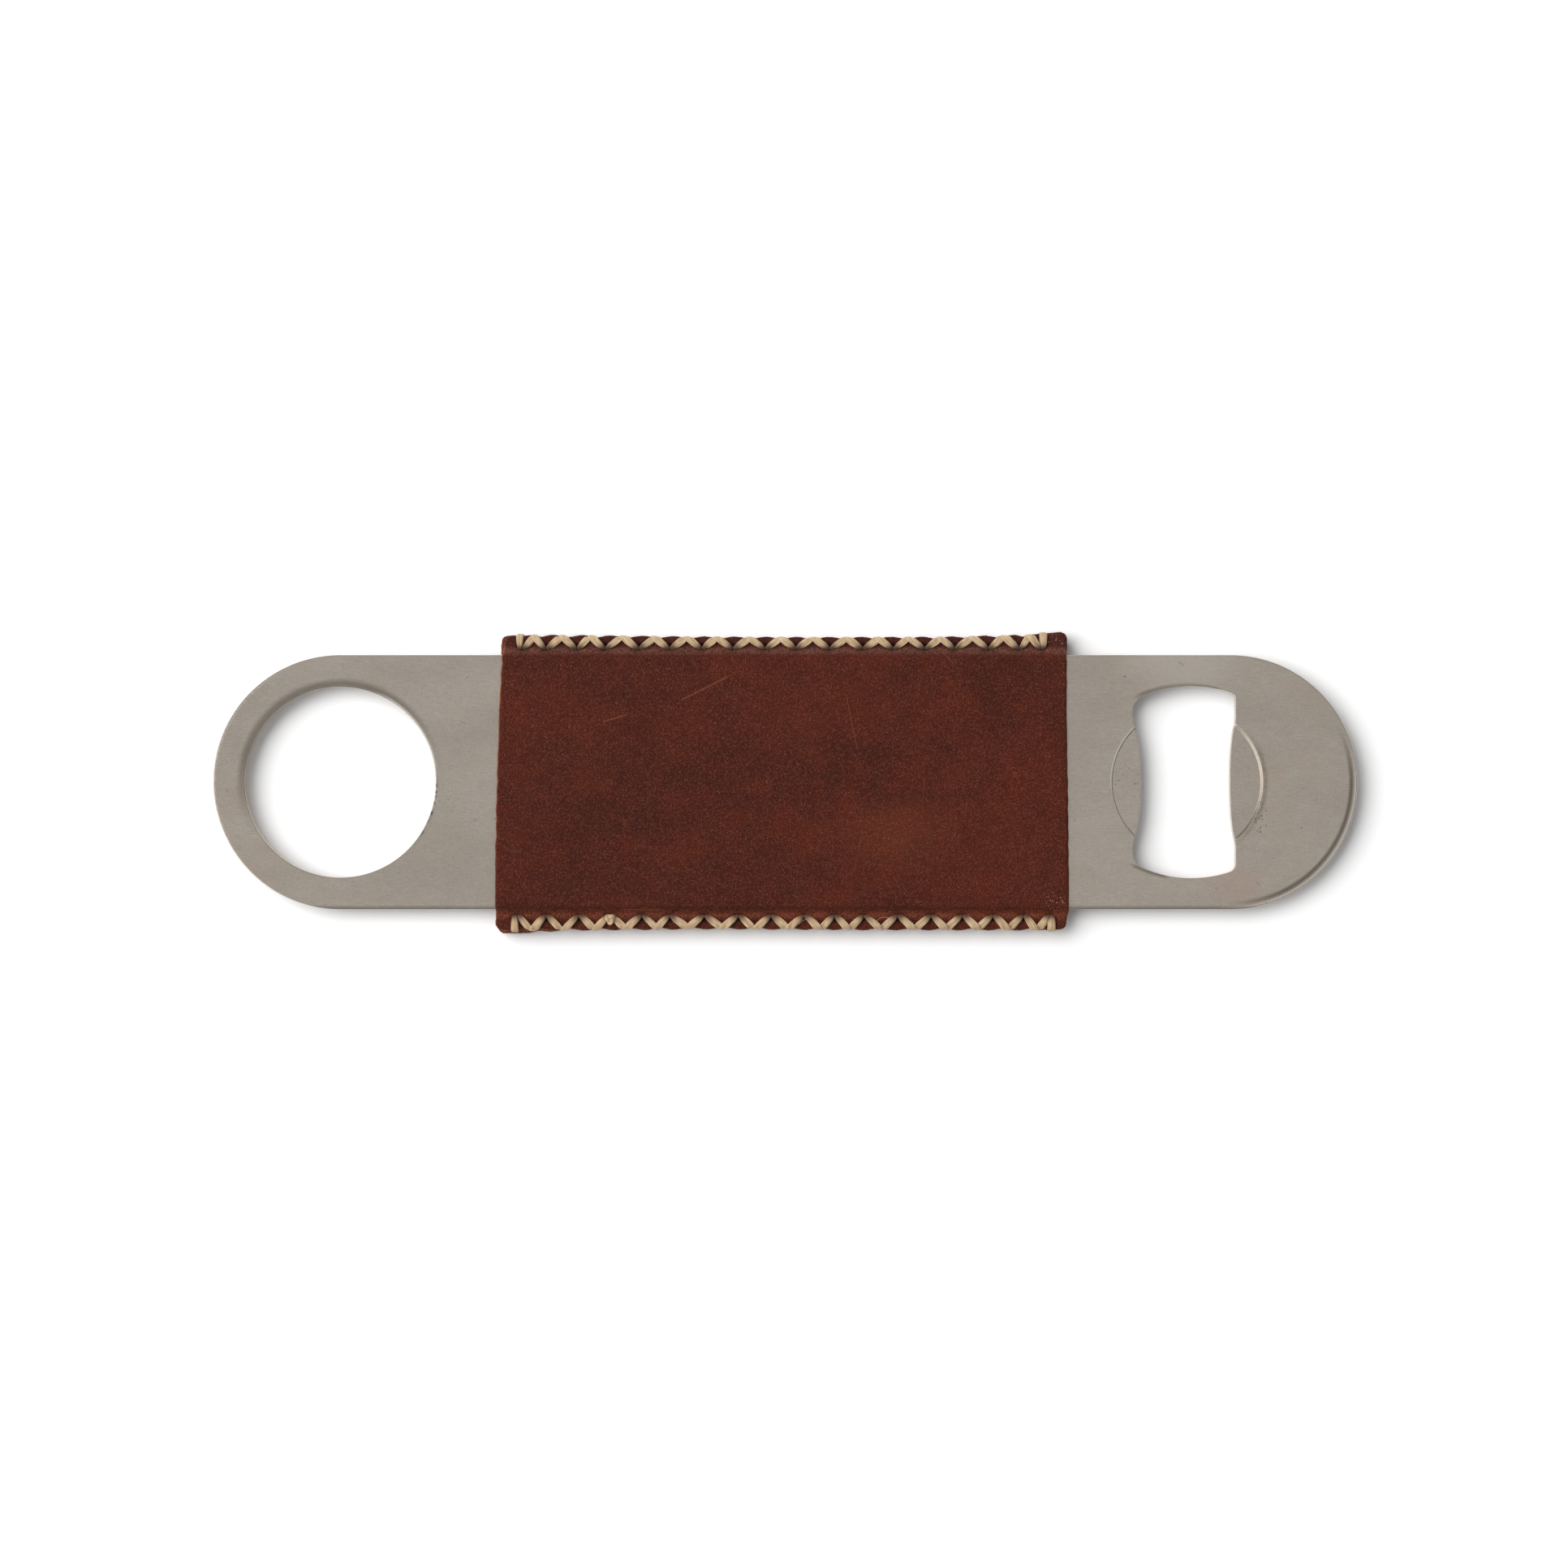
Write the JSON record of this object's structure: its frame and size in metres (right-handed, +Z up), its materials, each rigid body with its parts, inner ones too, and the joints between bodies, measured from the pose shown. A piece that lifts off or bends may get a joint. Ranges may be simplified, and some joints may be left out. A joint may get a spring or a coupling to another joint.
{
  "type": "bottle opener",
  "caption": "Flat steel bar bottle opener with a round finger ring, a pressed cap slot and a leather sleeve whip-stitched along its long edges.",
  "frame": {"origin": "on the surface that the opener lies on, under the middle of the blade", "axes": "+X along the blade from the finger ring to the cap slot, +Y across the blade, +Z up out of the sleeve's front"},
  "size_m": [0.18, 0.047, 0.0048],
  "materials": {
    "blade_steel": "satin, brushed along the blade",
    "sleeve_leather": "semi-gloss pebbled red-brown, with raw tan cut edges",
    "seam_thread": "waxed flat natural fibre"
  },
  "bodies": {
    "root": {"opener_blade": "blade_steel", "front_leather_panel": "sleeve_leather", "back_leather_panel": "sleeve_leather", "upper_seam_thread": "seam_thread", "lower_seam_thread": "seam_thread"}
  },
  "joints": []
}
